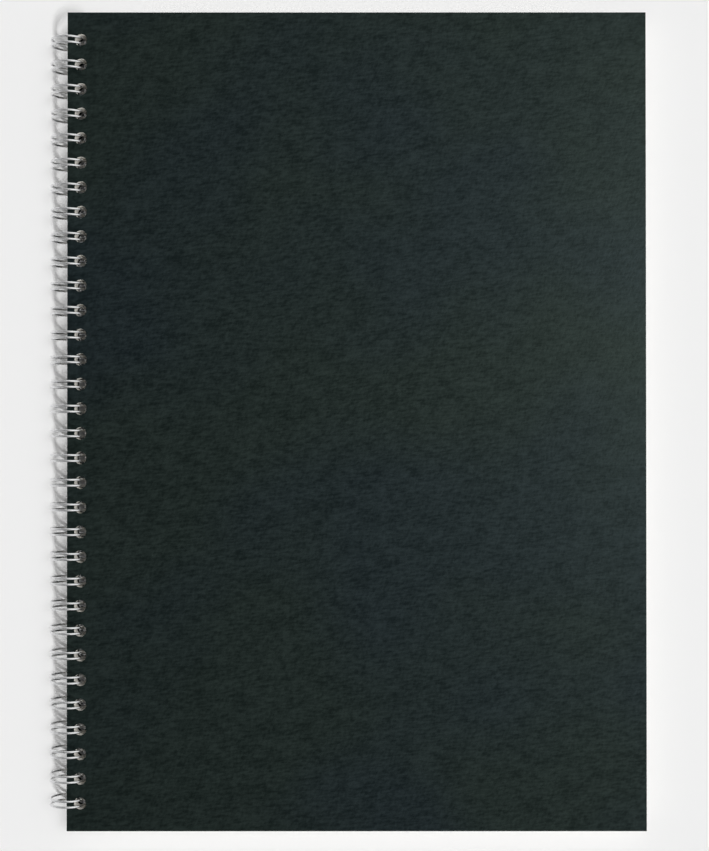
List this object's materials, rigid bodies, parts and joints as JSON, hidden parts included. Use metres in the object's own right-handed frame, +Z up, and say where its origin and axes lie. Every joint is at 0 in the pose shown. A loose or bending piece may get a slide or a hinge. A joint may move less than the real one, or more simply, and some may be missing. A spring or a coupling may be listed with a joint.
{
  "type": "spiral notebook",
  "caption": "Notebook with plain dark card covers and a block of punched sheets, bound along the spine by a silver twin-loop wire that both covers turn on.",
  "frame": {"origin": "under the middle of the whole notebook, wire included, on the plane that the wire's loops touch", "axes": "+X from the spine to the fore edge, +Y from the tail to the head, +Z up through the front cover; the loops' axis runs along Y at x = -71.975 mm, z = 4.75 mm"},
  "size_m": [0.1534, 0.21, 0.0095],
  "materials": {
    "cover_card": "matte",
    "sheets": "matte",
    "wire": "satin"
  },
  "bodies": {
    "block": {"page_block": "sheets", "wire_binding": "wire"},
    "front_cover": {"front_cover": "cover_card"},
    "back_cover": {"back_cover": "cover_card"}
  },
  "joints": [
    {"name": "front_cover_turn", "type": "hinge", "parent": "block", "child": "front_cover", "pos_m": [-0.07197, 0, 0.00475], "axis": [0, -1, 0], "range_deg": [0, 180]},
    {"name": "back_cover_turn", "type": "hinge", "parent": "block", "child": "back_cover", "pos_m": [-0.07197, 0, 0.00475], "axis": [0, 1, 0], "range_deg": [0, 180]}
  ]
}
